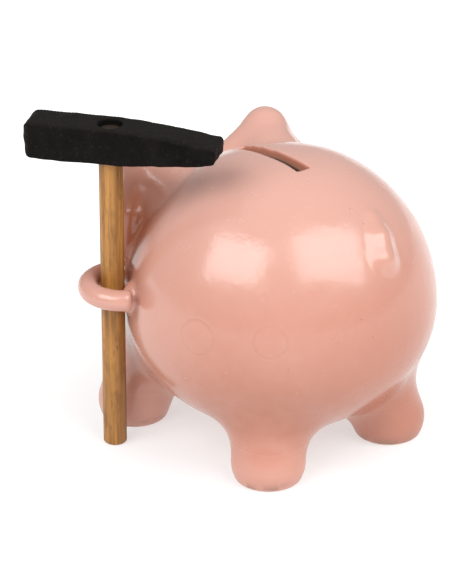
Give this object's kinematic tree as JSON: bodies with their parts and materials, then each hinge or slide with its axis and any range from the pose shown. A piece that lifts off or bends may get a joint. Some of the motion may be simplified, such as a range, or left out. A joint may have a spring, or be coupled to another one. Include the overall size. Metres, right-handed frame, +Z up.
{
  "type": "piggy bank",
  "caption": "Round glazed pottery pig coin bank on short legs with a coin slot along its spine and a small wooden-handled hammer held upright in a loop.",
  "frame": {"origin": "centre of the base of the whole object's box, on the table", "axes": "+Z up; the pig faces -Y and its left side, which carries the hammer, is +X"},
  "size_m": [0.1354, 0.1246, 0.1262],
  "materials": {
    "glaze": "glossy salmon-pink glaze over pale pottery",
    "wood": "plain sanded dowel",
    "iron": "rough matte black"
  },
  "bodies": {
    "pig": {"pig_body": "glaze", "snout": "glaze", "ear_left": "glaze", "ear_right": "glaze", "leg_front_left": "glaze", "leg_front_right": "glaze", "leg_rear_left": "glaze", "leg_rear_right": "glaze", "tail": "glaze", "hammer_loop": "glaze"},
    "handle": {"hammer_handle": "wood"},
    "head": {"hammer_head": "iron"}
  },
  "joints": [
    {"name": "hammer_lift", "type": "slide", "parent": "pig", "child": "handle", "axis": [0, 0, 1], "range_m": [0, 0.075]},
    {"name": "hammer_turn", "type": "hinge", "parent": "handle", "child": "head", "pos_m": [0.04444, -0.02124, 0.112], "axis": [0, 0, 1], "continuous": true}
  ]
}
